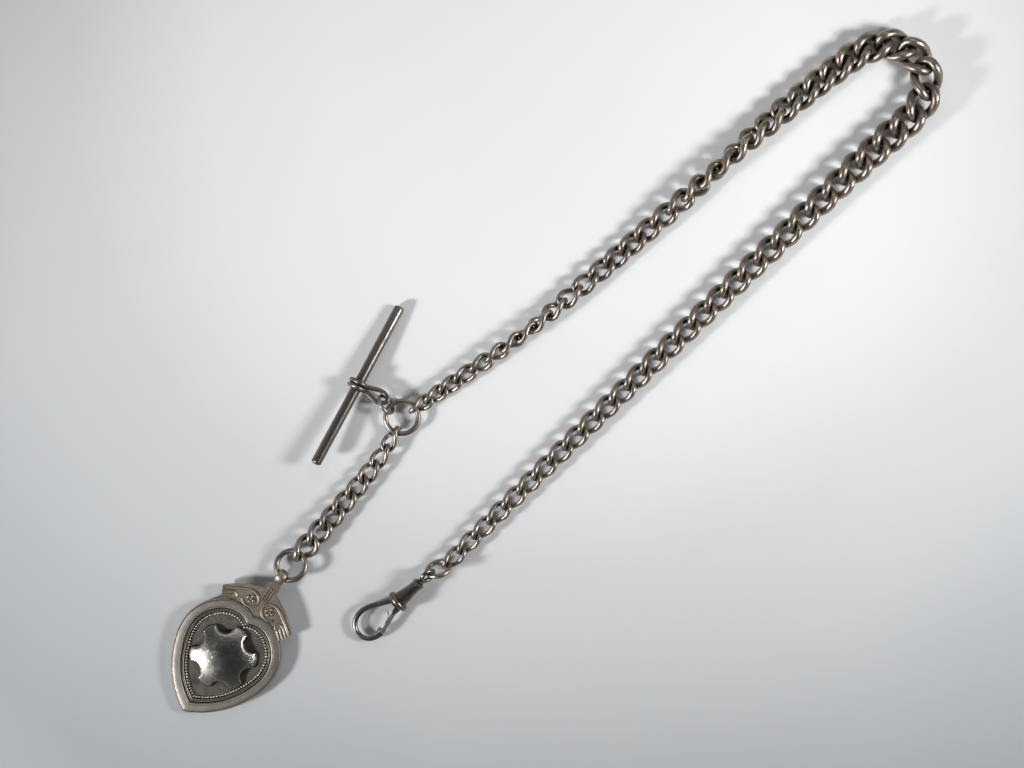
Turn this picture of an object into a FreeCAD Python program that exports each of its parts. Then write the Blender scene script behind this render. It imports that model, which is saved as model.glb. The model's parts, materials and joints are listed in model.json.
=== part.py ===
"""Single Albert pocket watch chain: graduated twisted curb links, T-bar, heart fob and dog clip.

Millimetres, +Z up. The chain is laid out as it rests on a table at height 0: the main run goes out,
turns back on itself and ends in the dog clip. The T-bar and the short drop chain with its fob hang
from the same centre ring. The parts are written with the middle of the centre ring as the origin.
"""
import FreeCAD, Part
import functools
import math
import os

Vec = FreeCAD.Vector
Rot = FreeCAD.Rotation
Z_AXIS = Vec(0, 0, 1)

# ---------------------------------------------------------------- driving dimensions
LINK_GAP = 0.12          # free play left between two linked wires
TABLE_GAP = 0.10         # links lie this far above the table at the most
LINK_TWIST = -45.0       # each end of a curb link is twisted this far from its middle
LINK_SQUARENESS = 2.6    # 2 would be an ellipse
LOOP_POLES = 40          # poles round a loop, and round the wire that it is made of
WIRE_POLES = 12
HEIGHT_PASSES = 4        # times the links' heights are corrected so that none dips below the table
HEIGHT_EASE = 1.5        # a link that dips is raised by this much of what it lacks
SEAT_REACH = 1.9         # half lengths of a loop within which its neighbour is looked for
SEAT_PASSES = 80

MAIN_COUNT = 63
# (link number, value): values between two keys change evenly
MAIN_WIRE = [(1, 1.13), (13, 1.37), (27, 2.00), (31, 2.20), (35, 2.15), (42, 1.75),
             (50, 1.50), (58, 1.22), (63, 1.12)]
MAIN_WIDTH = [(1, 4.1), (13, 5.3), (27, 6.8), (31, 7.9), (36, 7.9), (42, 6.6), (50, 5.8),
              (58, 4.9), (63, 4.3)]
MAIN_PITCH = [(1, 4.45), (8, 4.42), (12, 4.83), (26, 4.95), (28, 5.0), (30, 5.3), (31, 5.9), (33, 6.4),
              (35, 5.7), (42, 5.7), (50, 5.3), (63, 5.0)]
MAIN_HEADING = [(1, 34.0), (7, 34.5), (9, 40.0), (16, 40.5), (22, 42.7), (25, 39.0), (28, 37.5),
                (29, 34.5), (30, 18.0), (31, -11.5), (32, -46.5), (33, -84.0), (34, -119.5),
                (35, -138.5), (36, -138.5), (38, -136.5), (45, -136.0), (55, -135.8), (63, -135.0)]
MAIN_ROLL = [(1, 42.0), (3, 18.0), (4, 15.0), (8, 90.0), (13, 178.0), (16, 182.0), (21, 275.0),
             (26, 345.0), (29, 345.0), (31, 358.0), (35, 358.0), (38, 343.0), (63, 343.0)]

MAIN_END_HEIGHT = 3.0    # the connector ring holds the last link's far end up

DROP_COUNT = 8
DROP_WIRE = [(1, 1.00), (8, 1.46)]
DROP_WIDTH = [(1, 4.0), (8, 6.0)]
DROP_PITCH = [(1, 4.9), (3, 4.6), (8, 4.9)]
DROP_HEADING = [(1, 243.0), (2, 236.0), (4, 230.0), (8, 229.5)]
DROP_ROLL = [(1, 40.0), (4, 0.0), (5, -2.0), (8, -30.0)]

DROP_END_HEIGHT = 2.2

CENTRE_RING_OUTER = 9.1
CENTRE_RING_WIRE = 1.25
CENTRE_RING_HEIGHT = 2.0

T_RING_OUTER = 5.6
T_RING_WIRE = 0.9
T_RING_PLACE = 144.0     # the way from the middle of the centre ring to this ring
T_RING_HEADING = 134.0
T_RING_ROLL = 62.0
T_RING_END_HEIGHT = 3.55
T_ROD_LENGTH = 42.9
T_ROD_RADIUS = 1.25
T_ROD_HEADING = 61.9
T_ROD_TILT = -4.6        # the far end of the rod dips to the table
T_ROD_HEIGHT = 3.05
T_ROD_PLAY = 0.08
T_ROD_EDGE = 0.35        # rounding of the rod's two ends
SHACKLE_WIRE = 1.15
SHACKLE_LENGTH = 8.1     # rod axis to the wire centre at the eye's end
SHACKLE_EYE_HALF = 1.3
SHACKLE_SHOULDER = 1.9   # from the collar to where the wires stand nearly their full width apart
SHACKLE_BEND = 1.7       # length of the eye's rounded end
COLLAR_SPREAD = 0.52     # half the distance between the two collars, in wire widths

CONNECTOR_OUTER = 6.8
CONNECTOR_WIRE = 1.15
CONNECTOR_HEADING = 210.0
CONNECTOR_ROLL = 55.0
CONNECTOR_END_HEIGHT = 4.2
CLASP_HEADING = 221.0
CLASP_EYE_OUTER = 4.4
CLASP_EYE_WIRE = 1.05
CLASP_PITCH = -7.0       # the clasp rests on its collar with the hook's tip low
CLASP_EYE_ROLL = -60.0
CLASP_EYE_END_HEIGHT = 3.85
POST_RADIUS = 0.6
POST_END = 1.95
EYE_NECK = 0.4           # the eye's wire ends this far from the barrel
FLANGE_RADIUS = 1.05
POST_HEAD_RADIUS = 1.0
BARREL_BORE = 0.68
BARREL_WALL = 0.9        # thickness of the barrel's narrow end
CAVITY_RADIUS = 1.15
# the barrel's outside from its narrow end to its wide one: distance and radius
BARREL_SHAPE = [(0, 1.3), (0.2, 1.5), (0.6, 1.5), (0.8, 1.32), (2.2, 1.4), (4.2, 1.62), (6.3, 1.98)]
BARREL_LENGTH = BARREL_SHAPE[-1][0]
STEM_RADIUS = 1.0
STEM_START = 4.4
COLLAR_LENGTH = 1.25
COLLAR_RADIUS = 2.8
BASE_DISC = (2.0, 0.5)   # radius and thickness of the disc that the hook grows from
HOOK_WIRE = 1.4
HOOK_NOSE = 1.15         # the hook's wire is thinner at its free end
# the hook's wire: distance from the barrel's narrow end, and sideways
HOOK_PATH = [(7.9, -1.2), (9.4, -1.85), (12.0, -3.1), (15.3, -3.95), (18.2, -2.95), (19.4, -0.45),
             (18.5, 2.0), (16.8, 3.0), (15.1, 3.2)]
GATE_PIVOT = (8.95, 1.3)
GATE_END = (14.85, 3.2)
GATE_PIN_RADIUS = 0.2
PIN_PLAY = 0.08
KNUCKLE_RADIUS = 0.6
KNUCKLE_HALF = 0.36
EAR_GAP = 0.1
EAR_THICK = 0.35
EAR_RADIUS = 0.62
TONGUE_REACH = 0.8       # the tongue runs this far under the hook's nose
TONGUE_DROP = 1.35
TONGUE_THICK = 0.3
TONGUE_WIDE = 0.7
RISER_LENGTH = 0.9       # length of the block that joins the tongue to the lever
GATE_THICK = 0.95
GATE_WIDE = 1.0
LEAF_THICK = 0.18
LEAF_WIDE = 0.6
LEAF_BEND = 2.0          # outer radius of the curled part of the leaf spring
LEAF_START = 2.7         # from the gate's pivot to where the curl begins
LEAF_FLAT = 1.1          # length of the flat riveted part
LEAF_ARC = 65

FOB_RING_OUTER = 8.4
FOB_RING_WIRE = 1.35
FOB_HEADING = 233.6      # the way the fob's tip points
FOB_TILT = 3.0
FOB_RING_HEADING = 230.0
FOB_RING_ROLL = 14.0
FOB_REST = 0.05          # height of the heart's tip above the table
# distance along the fob from the tip, and half width there
HEART_HALF = [(0, 0), (5.4, 7.2), (12.8, 11.7), (19.4, 12.9), (25.6, 10.4), (29.4, 3.6), (28.5, 0)]
BAIL_EYE = Vec(40.1, 0, 0.9)
BAIL_PLAY = 0.33         # room between the jump ring's wire and the bail's eye
BAIL_SECTION = (0.84, 2.3)
BAIL_TAIL_HALF = 0.95    # half width of the strap where it meets the eye
PLATE_TOP = 0.7
RIM_TOP = 1.9
RIM_BEVEL = 0.35
RIM_WIDTH = 2.3
STEP_INSET = (2.45, 3.1)
STEP_TOP = 1.4
BEAD_INSET = (3.3, 3.75)
BEAD_TOP = 0.95
BOSS_PLACE = 16.2        # from the tip to the middle of the star
BOSS_POINTS = 6
BOSS_OUTER = 8.3
BOSS_INNER = 5.9
BOSS_RISE = 2.9
BOSS_BASE = 9.2          # radius at which the dome would meet the plate
CROWN_BOTTOM = 0.1
CROWN_TOP = 1.45
# a wing's upper edge, from its outer corner to the waist, and its lower corner
WING_EDGE = [(30.3, 10.1), (33.7, 5.7), (35.7, 1.6)]
WING_BOTTOM = (27.3, 8.5)
NECK_START = 33.0
NECK_END = 36.7
NECK_HALF = 1.6
SCROLL_PATH = [(30.2, 9.2), (31.7, 7.0), (32.9, 5.0), (33.5, 3.3), (33.1, 1.7), (32.0, 0.8),
               (30.8, 0.9), (29.8, 2.0), (29.7, 3.4), (30.4, 4.6)]
SCROLL_WIRE = 0.36
SMALL_SCROLL = [(30.4, 7.3), (30.7, 6.6), (30.3, 5.9), (29.6, 5.8), (29.1, 6.4)]
FLORET_PLACE = (31.6, 2.75)
PETALS = 4
PETAL_RING = 0.74
PETAL_RADIUS = 0.45
REEDS = 4
REED_LENGTH = 2.4
REED_RADIUS = 0.26
NECK_REED_RADIUS = 0.34
NECK_REED_SPACING = 0.64
NECK_REED_SINK = 0.1     # the neck's reeds lie this far below the crown's face


# ---------------------------------------------------------------- small helpers
def key_value(keys, number):
    """The value at a link number, read evenly between the keys."""
    for (n0, v0), (n1, v1) in zip(keys, keys[1:]):
        if number <= n1:
            share = max(0.0, (number - n0) / float(n1 - n0))
            return v0 + (v1 - v0) * share
    return keys[-1][1]


def turn(heading, pitch=0.0, roll=0.0):
    """Rotation whose local X points along heading, lifted by pitch, then rolled about itself."""
    return Rot(Z_AXIS, heading) * Rot(Vec(0, 1, 0), -pitch) * Rot(Vec(1, 0, 0), roll)


def direction(heading):
    return Vec(math.cos(math.radians(heading)), math.sin(math.radians(heading)), 0)


def knot(poles, i):
    """Point of a closed cubic B-spline loop at pole number i."""
    n = len(poles)
    return (poles[i - 1] + poles[i] * 4 + poles[(i + 1) % n]) * (1 / 6.0)


def oval_points(half_length, half_width, squareness, count):
    """Evenly spaced points round a slightly squared oval, the first at +X."""
    fine = 720
    points = []
    for i in range(fine):
        c = math.cos(2 * math.pi * i / fine)
        s = math.sin(2 * math.pi * i / fine)
        power = 2 / squareness
        x = math.copysign(abs(c) ** power, c) * half_length
        y = math.copysign(abs(s) ** power, s) * half_width
        points.append(Vec(x, y, 0))
    lengths = [0.0]
    for i in range(fine):
        lengths.append(lengths[-1] + points[i].distanceToPoint(points[(i + 1) % fine]))
    spread = []
    at = 0
    for i in range(count):
        want = lengths[-1] * i / count
        while lengths[at + 1] < want:
            at += 1
        share = (want - lengths[at]) / (lengths[at + 1] - lengths[at])
        here = points[at]
        there = points[(at + 1) % fine]
        spread.append(here + (there - here) * share)
    return spread


def loop_poles(half_length, half_width, twist, squareness):
    """Poles of a closed wire loop along X, twisted about X by +-twist at its two ends."""
    flat = oval_points(half_length, half_width, squareness, LOOP_POLES)
    reach_x = knot(flat, 0).x
    reach_y = knot(flat, LOOP_POLES // 4).y
    poles = []
    for p in flat:
        x = p.x * half_length / reach_x
        y = p.y * half_width / reach_y
        angle = math.radians(twist) * math.sin(0.5 * math.pi * max(-1.0, min(1.0, x / half_length)))
        poles.append(Vec(x, y * math.cos(angle), y * math.sin(angle)))
    return poles


def wire_loop(poles, radius):
    """Solid round wire along a closed cubic B-spline loop."""
    n = len(poles)
    middle = Vec(0, 0, 0)
    for p in poles:
        middle = middle + p * (1.0 / n)
    pole_radius = radius * 3 / (2 + math.cos(2 * math.pi / WIRE_POLES))
    grid = []
    for i in range(n):
        along = (poles[(i + 1) % n] - poles[i - 1]).normalize()
        out = poles[i] - middle
        out = (out - along * out.dot(along)).normalize()
        side = along.cross(out)
        row = []
        for j in range(WIRE_POLES):
            a = 2 * math.pi * j / WIRE_POLES
            row.append(poles[i] + (out * math.cos(a) + side * math.sin(a)) * pole_radius)
        grid.append(row)
    surface = Part.BSplineSurface()
    surface.buildFromPolesMultsKnots(
        grid, [1] * (n + 1), [1] * (WIRE_POLES + 1), list(range(n + 1)),
        list(range(WIRE_POLES + 1)), True, True, 3, 3)
    solid = Part.Solid(Part.Shell([surface.toShape()]))
    if solid.Volume < 0:
        solid.reverse()
    return solid


class Loop:
    """One closed wire link or ring, with its own X axis along the chain."""

    def __init__(self, name, length, width, wire, twist=0.0, squareness=2.0):
        self.name = name
        self.half_length = length / 2.0
        self.wire = wire
        self.local = loop_poles(self.half_length, width / 2.0, twist, squareness)
        self.twist = twist
        self.rotation = Rot()
        self.centre = Vec(0, 0, 0)

    def world(self, point):
        return self.centre + self.rotation.multVec(point)

    def poles(self):
        return [self.world(p) for p in self.local]

    def samples(self):
        """Points along the middle of the wire, at each pole and half way between poles."""
        poles = self.poles()
        n = len(poles)
        points = []
        for i in range(n):
            before, here, after, beyond = poles[i - 1], poles[i], poles[(i + 1) % n], poles[(i + 2) % n]
            points.append(knot(poles, i))
            points.append((before + here * 23 + after * 23 + beyond) * (1 / 48.0))
        return points

    def tip(self, end):
        """Middle of the wire at the far end (+1) or the near end (-1)."""
        return self.world(Vec(self.half_length * end, 0, 0))

    def tip_tangent(self, end):
        angle = math.radians(self.twist) * end
        return self.rotation.multVec(Vec(0, math.cos(angle), math.sin(angle)))

    def lowest(self):
        return min(p.z for p in self.samples()) - self.wire / 2.0

    def solid(self):
        return wire_loop(self.poles(), self.wire / 2.0)


def closest(points_a, points_b):
    """Smallest distance between two point sets, and the unit vector from the first to the second."""
    best = 1e9
    pair = (points_a[0], points_b[0])
    for a in points_a:
        ax, ay, az = a.x, a.y, a.z
        for b in points_b:
            gap = (b.x - ax) ** 2 + (b.y - ay) ** 2 + (b.z - az) ** 2
            if gap < best:
                best = gap
                pair = (a, b)
    return math.sqrt(best), (pair[1] - pair[0]).normalize()


def near_half(points, place, reach):
    return [p for p in points if p.distanceToPoint(place) < reach]


def seat(fixed_points, fixed_wire, loop):
    """Ease a loop away from its neighbour until their wires are LINK_GAP apart."""
    wanted = (fixed_wire + loop.wire) / 2.0 + LINK_GAP
    start = loop.tip(-1)
    reach = loop.half_length * SEAT_REACH + loop.wire
    around = near_half(fixed_points, start, reach)
    for _ in range(SEAT_PASSES):
        mine = near_half(loop.samples(), start, reach)
        distance, away = closest(around, mine)
        if distance >= wanted - 0.002:
            break
        loop.centre = loop.centre + away * (wanted - distance + 0.004)


def hook_on(previous, loop, heading, roll, end_height):
    """Link a loop through the far end of the previous one, its own far end at end_height."""
    gap = (previous.wire + loop.wire) / 2.0 + LINK_GAP
    before = previous.rotation.multVec(Vec(1, 0, 0))
    level = (before + direction(heading)).normalize()
    start_z = previous.tip(1).z - level.z * gap
    rise = (end_height - start_z) / (2 * loop.half_length)
    pitch = math.degrees(math.asin(max(-0.5, min(0.5, rise))))
    loop.rotation = turn(heading, pitch, roll)
    ahead = loop.rotation.multVec(Vec(1, 0, 0))
    lean = (before + ahead).normalize()
    start = previous.tip(1) - lean * gap
    loop.centre = start + ahead * loop.half_length
    seat(previous.samples(), previous.wire, loop)


# ---------------------------------------------------------------- chain of loops
def curb_link(name, number, wires, widths, pitches, count):
    wire = key_value(wires, number)
    next_wire = key_value(wires, min(number + 1, count))
    length = key_value(pitches, number) + (wire + next_wire) / 2.0 + LINK_GAP
    width = key_value(widths, number) - wire
    return Loop(name, length, width, wire, LINK_TWIST, LINK_SQUARENESS)


def centre_ring():
    across = CENTRE_RING_OUTER - CENTRE_RING_WIRE
    ring = Loop("centre_ring", across, across, CENTRE_RING_WIRE)
    ring.centre = Vec(0, 0, CENTRE_RING_HEIGHT)
    return ring


def facing(ring, heading):
    """A ring turned so that its far end points along heading."""
    across = ring.half_length * 2
    copy = Loop(ring.name, across, across, ring.wire)
    copy.rotation = turn(heading)
    copy.centre = ring.centre
    return copy


def rest_height(loop, roll):
    """Height of a loop's middle when it lies on the table at this roll."""
    loop.rotation = turn(0, 0, roll)
    loop.centre = Vec(0, 0, 0)
    return TABLE_GAP - loop.lowest()


def curb_chain(prefix, count, wires, widths, pitches, headings, rolls, last_height):
    """Graduated curb links walked out from the centre ring, each hooked through the one before."""
    links = []
    for number in range(1, count + 1):
        name = "%s_%02d" % (prefix, number)
        links.append(curb_link(name, number, wires, widths, pitches, count))
    heights = [rest_height(link, key_value(rolls, i + 1)) for i, link in enumerate(links)]
    heights.append(last_height)
    for _ in range(HEIGHT_PASSES):
        previous = facing(centre_ring(), key_value(headings, 1))
        for i, link in enumerate(links):
            number = i + 1
            end_height = (heights[i] + heights[i + 1]) / 2.0
            hook_on(previous, link, key_value(headings, number), key_value(rolls, number), end_height)
            previous = link
        for i, link in enumerate(links):
            heights[i] += HEIGHT_EASE * max(0.0, TABLE_GAP - link.lowest())
    return links


@functools.lru_cache(maxsize=None)
def main_links():
    return curb_chain("main_link", MAIN_COUNT, MAIN_WIRE, MAIN_WIDTH, MAIN_PITCH,
                      MAIN_HEADING, MAIN_ROLL, MAIN_END_HEIGHT)


@functools.lru_cache(maxsize=None)
def drop_links():
    return curb_chain("drop_link", DROP_COUNT, DROP_WIRE, DROP_WIDTH, DROP_PITCH,
                      DROP_HEADING, DROP_ROLL, DROP_END_HEIGHT)


# ---------------------------------------------------------------- T-bar
@functools.lru_cache(maxsize=None)
def t_ring():
    """Small jump ring between the centre ring and the T-bar's shackle."""
    across = T_RING_OUTER - T_RING_WIRE
    ring = Loop("t_bar_jump_ring", across, across, T_RING_WIRE)
    hook_on(facing(centre_ring(), T_RING_PLACE), ring, T_RING_HEADING, T_RING_ROLL, T_RING_END_HEIGHT)
    return ring


class Shackle(Loop):
    """Wire eye with a double collar; its local origin is on the rod's axis, X toward the eye."""

    def __init__(self):
        self.wire = SHACKLE_WIRE
        self.half_length = SHACKLE_LENGTH / 2.0
        half = SHACKLE_EYE_HALF
        ridge = SHACKLE_WIRE * 0.5
        root = T_ROD_RADIUS + T_ROD_PLAY + SHACKLE_WIRE * 0.5
        side = [(root, ridge), (root + SHACKLE_SHOULDER, half * 0.78),
                (SHACKLE_LENGTH - SHACKLE_BEND, half)]
        across = [(x, -y) for x, y in reversed(side)]
        self.path = [Vec(x, y, 0) for x, y in side + [(SHACKLE_LENGTH, 0)] + across]
        self.rotation = turn(T_ROD_HEADING - 90, 0, T_ROD_TILT)
        self.centre = Vec(0, 0, 0)

    def curve(self):
        spline = Part.BSplineCurve()
        spline.interpolate(self.path)
        return spline

    def samples(self):
        return [self.world(p) for p in self.curve().discretize(81)]

    def tip(self, end):
        return self.world(Vec(SHACKLE_LENGTH, 0, 0))


@functools.lru_cache(maxsize=None)
def shackle():
    """The shackle, its eye hooked through the far side of the T-bar's jump ring."""
    ring = t_ring()
    piece = Shackle()
    toward_rod = direction(T_ROD_HEADING + 90)
    gap = (ring.wire + piece.wire) / 2.0 + LINK_GAP
    pull = (ring.rotation.multVec(Vec(1, 0, 0)) + toward_rod).normalize()
    eye_end = ring.tip(1) - pull * gap
    piece.centre = eye_end + toward_rod * SHACKLE_LENGTH
    piece.centre.z = T_ROD_HEIGHT
    seat(ring.samples(), ring.wire, piece)
    return piece


def round_bar(curve, radius, end_radius):
    """Round bar along an open planar curve, with flat ends; the radius changes evenly."""
    count = 28
    first, last = curve.FirstParameter, curve.LastParameter
    grid = []
    for i in range(count):
        share = i / (count - 1.0)
        u = first + (last - first) * share
        along = curve.tangent(u)[0]
        side = Z_AXIS.cross(along).normalize()
        pole_radius = (radius + (end_radius - radius) * share) * 3
        pole_radius /= 2 + math.cos(2 * math.pi / WIRE_POLES)
        row = []
        for j in range(WIRE_POLES):
            a = 2 * math.pi * j / WIRE_POLES
            row.append(curve.value(u) + (side * math.cos(a) + Z_AXIS * math.sin(a)) * pole_radius)
        grid.append(row)
    surface = Part.BSplineSurface()
    surface.buildFromPolesMultsKnots(
        grid, [4] + [1] * (count - 4) + [4], [1] * (WIRE_POLES + 1), list(range(count - 2)),
        list(range(WIRE_POLES + 1)), False, True, 3, 3)
    skin = surface.toShape()
    faces = [skin]
    for edge in skin.Edges:
        if edge.isClosed() and Part.Wire([edge]).isClosed() and is_end(edge, curve):
            faces.append(Part.Face(Part.Wire([edge])))
    shell = Part.makeShell(faces)
    shell.sewShape()
    solid = Part.Solid(shell)
    if solid.Volume < 0:
        solid.reverse()
    return solid


def is_end(edge, curve):
    """True where a bar's closed edge is one of its two end circles."""
    middle = edge.BoundBox.Center
    ends = (curve.value(curve.FirstParameter), curve.value(curve.LastParameter))
    return min(middle.distanceToPoint(end) for end in ends) < 0.1


def t_bar_shackle():
    piece = shackle()
    body = round_bar(piece.curve(), SHACKLE_WIRE / 2.0, SHACKLE_WIRE / 2.0)
    collar_radius = T_ROD_RADIUS + T_ROD_PLAY + SHACKLE_WIRE / 2.0
    for side in (-1, 1):
        place = Vec(0, side * SHACKLE_WIRE * COLLAR_SPREAD, 0)
        body = body.fuse(Part.makeTorus(collar_radius, SHACKLE_WIRE / 2.0, place, Vec(0, 1, 0)))
    bore = Part.makeCylinder(T_ROD_RADIUS + T_ROD_PLAY, 6, Vec(0, -3, 0), Vec(0, 1, 0))
    return at(body.cut(bore).removeSplitter(), piece.centre, piece.rotation)


def t_bar_rod():
    piece = shackle()
    rod = Part.makeCylinder(T_ROD_RADIUS, T_ROD_LENGTH, Vec(0, -T_ROD_LENGTH / 2.0, 0), Vec(0, 1, 0))
    rod = rod.makeFillet(T_ROD_EDGE, rod.Edges)
    return at(rod, piece.centre, piece.rotation)


def at(shape, centre, rotation):
    """A copy of a shape moved from its own frame to where it lies."""
    placed = shape.copy()
    placed.Placement = FreeCAD.Placement(centre, rotation).multiply(shape.Placement)
    return placed


# ---------------------------------------------------------------- fob
@functools.lru_cache(maxsize=None)
def fob_ring():
    """Jump ring at the end of the drop chain; its far side lies in the bail's eye."""
    across = FOB_RING_OUTER - FOB_RING_WIRE
    ring = Loop("fob_jump_ring", across, across, FOB_RING_WIRE)
    eye_height = FOB_REST + fob_rotation().multVec(BAIL_EYE).z
    hook_on(drop_links()[-1], ring, FOB_RING_HEADING, FOB_RING_ROLL, eye_height)
    return ring


def fob_rotation():
    return turn(FOB_HEADING + 180, FOB_TILT)


def fob_origin():
    """Place of the heart's tip: local X runs from the tip to the bail, Z is the front."""
    return fob_ring().tip(1) - fob_rotation().multVec(BAIL_EYE)


def on_fob(shape):
    return at(shape, fob_origin(), fob_rotation())


def heart_half(inset):
    """One side of the heart, tip to cleft, moved inward by an even distance."""
    outer = Part.BSplineCurve()
    outer.interpolate([Vec(x, y, 0) for x, y in HEART_HALF])
    if not inset:
        return outer
    tip_angle = math.atan2(HEART_HALF[1][1], HEART_HALF[1][0])
    points = [Vec(inset / math.sin(tip_angle), 0, 0)]
    for x, y in HEART_HALF[1:-1]:
        along = outer.tangent(outer.parameter(Vec(x, y, 0)))[0]
        points.append(Vec(x + along.y * inset, y - along.x * inset, 0))
    points.append(Vec(HEART_HALF[-1][0] - inset, 0, 0))
    inner = Part.BSplineCurve()
    inner.interpolate(points)
    return inner


def heart_face(inset):
    """Flat heart, its sharp tip near the origin and its lobes and cleft toward +X."""
    right = heart_half(inset).toShape()
    left = right.mirror(Vec(0, 0, 0), Vec(0, 1, 0))
    return Part.Face(Part.Wire([right, left]))


def heart_solid(inset, bottom, top):
    face = heart_face(inset)
    face.translate(Vec(0, 0, bottom))
    return face.extrude(Vec(0, 0, top - bottom))


def fob_back_plate():
    return on_fob(heart_solid(0, 0, PLATE_TOP))


def fob_rim():
    """Broad flat border with a bevelled outer edge."""
    lower = heart_solid(0, PLATE_TOP, RIM_TOP - RIM_BEVEL)
    bevel = Part.makeLoft([heart_wire_at(0, RIM_TOP - RIM_BEVEL),
                           heart_wire_at(RIM_BEVEL, RIM_TOP)], True)
    return on_fob(lower.fuse(bevel).cut(heart_solid(RIM_WIDTH, PLATE_TOP - 1, RIM_TOP + 1)))


def heart_wire_at(inset, height):
    wire = heart_face(inset).OuterWire
    wire.translate(Vec(0, 0, height))
    return wire


def heart_band(insets, top):
    """Raised band on the plate that follows the heart's outline."""
    outside, inside = insets
    return heart_solid(outside, PLATE_TOP, top).cut(heart_solid(inside, PLATE_TOP - 1, top + 1))


def fob_inner_step():
    return on_fob(heart_band(STEP_INSET, STEP_TOP))


def fob_bead_border():
    return on_fob(heart_band(BEAD_INSET, BEAD_TOP))


def fob_boss():
    """Domed star with hollowed sides, one point toward the bail."""
    edges = []
    step = 2 * math.pi / BOSS_POINTS
    for i in range(BOSS_POINTS):
        corner = polar(BOSS_OUTER, i * step)
        hollow = polar(BOSS_INNER, (i + 0.5) * step)
        edges.append(Part.Arc(corner, hollow, polar(BOSS_OUTER, (i + 1) * step)).toShape())
    star = Part.Face(Part.Wire(edges)).extrude(Vec(0, 0, BOSS_RISE + 1))
    sphere_radius = (BOSS_BASE ** 2 + BOSS_RISE ** 2) / (2 * BOSS_RISE)
    dome = Part.makeSphere(sphere_radius, Vec(0, 0, BOSS_RISE - sphere_radius))
    boss = star.common(dome)
    boss.translate(Vec(BOSS_PLACE, 0, PLATE_TOP))
    return on_fob(boss)


def polar(radius, angle):
    return Vec(radius * math.cos(angle), radius * math.sin(angle), 0)


def crown_plate():
    """Flat plate of the crown: two wings with bowed upper edges, and the neck below the bail."""
    corner, bow, waist = [Vec(x, y, 0) for x, y in WING_EDGE]
    bottom_x, bottom_y = WING_BOTTOM
    corners = [waist, Vec(NECK_END, NECK_HALF, 0), Vec(NECK_END, 0, 0), Vec(bottom_x, 0, 0),
               Vec(bottom_x, bottom_y, 0), corner]
    edges = [Part.Arc(corner, bow, waist).toShape()]
    for a, b in zip(corners, corners[1:]):
        edges.append(Part.makeLine(a, b))
    half = Part.Face(Part.Wire(edges)).extrude(Vec(0, 0, CROWN_TOP - CROWN_BOTTOM))
    half.translate(Vec(0, 0, CROWN_BOTTOM))
    return half.fuse(half.mirror(Vec(0, 0, 0), Vec(0, 1, 0))).removeSplitter()


def moulding(path, radius):
    """Round bar along a path on the crown's face, half sunk in it."""
    spline = Part.BSplineCurve()
    spline.interpolate([Vec(x, y, CROWN_TOP) for x, y in path])
    return round_bar(spline, radius, radius * 0.8)


def floret():
    """Round petals about a bead, inside a scroll."""
    middle = Vec(FLORET_PLACE[0], FLORET_PLACE[1], CROWN_TOP)
    petals = [Part.makeSphere(PETAL_RADIUS * 0.8, middle)]
    for i in range(PETALS):
        place = middle + polar(PETAL_RING, 2 * math.pi * i / PETALS)
        petals.append(Part.makeSphere(PETAL_RADIUS, place))
    return petals


def reeds():
    """Parallel bars that run inward from a wing's end, along its upper edge."""
    along = Vec(WING_EDGE[1][0] - WING_EDGE[0][0], WING_EDGE[1][1] - WING_EDGE[0][1], 0)
    first = Vec(WING_EDGE[0][0], WING_EDGE[0][1], CROWN_TOP)
    last = Vec(WING_BOTTOM[0], WING_BOTTOM[1], CROWN_TOP)
    bars = []
    for i in range(REEDS):
        start = first + (last - first) * ((i + 0.75) / REEDS)
        bars.append(Part.makeCylinder(REED_RADIUS, REED_LENGTH, start, along))
    return bars


def wing_relief(side):
    """Large and small scroll, floret and reeds of one wing."""
    pieces = [moulding(SCROLL_PATH, SCROLL_WIRE), moulding(SMALL_SCROLL, REED_RADIUS)]
    pieces += floret() + reeds()
    if side < 0:
        pieces = [piece.mirror(Vec(0, 0, 0), Vec(0, 1, 0)) for piece in pieces]
    return pieces


def fob_crown():
    """Crown soldered to the top of the heart, with its relief standing proud."""
    body = crown_plate()
    for side in (-1, 1):
        for piece in wing_relief(side):
            body = body.fuse(piece)
    for i in (-1, 0, 1):
        start = Vec(NECK_START, i * NECK_REED_SPACING, CROWN_TOP - NECK_REED_SINK)
        reed = Part.makeCylinder(NECK_REED_RADIUS, NECK_END - NECK_START, start, Vec(1, 0, 0))
        body = body.fuse(reed)
    size = 2 * NECK_END
    below = Part.makeBox(size, size, size, Vec(0, -size / 2, CROWN_BOTTOM - size))
    return on_fob(body.cut(below).cut(heart_solid(0, -1, RIM_TOP + 1)).removeSplitter())


def rectangle_at(x, half_width, bottom, top):
    corners = [Vec(x, -half_width, bottom), Vec(x, half_width, bottom), Vec(x, half_width, top),
               Vec(x, -half_width, top), Vec(x, -half_width, bottom)]
    return Part.makePolygon(corners)


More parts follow.
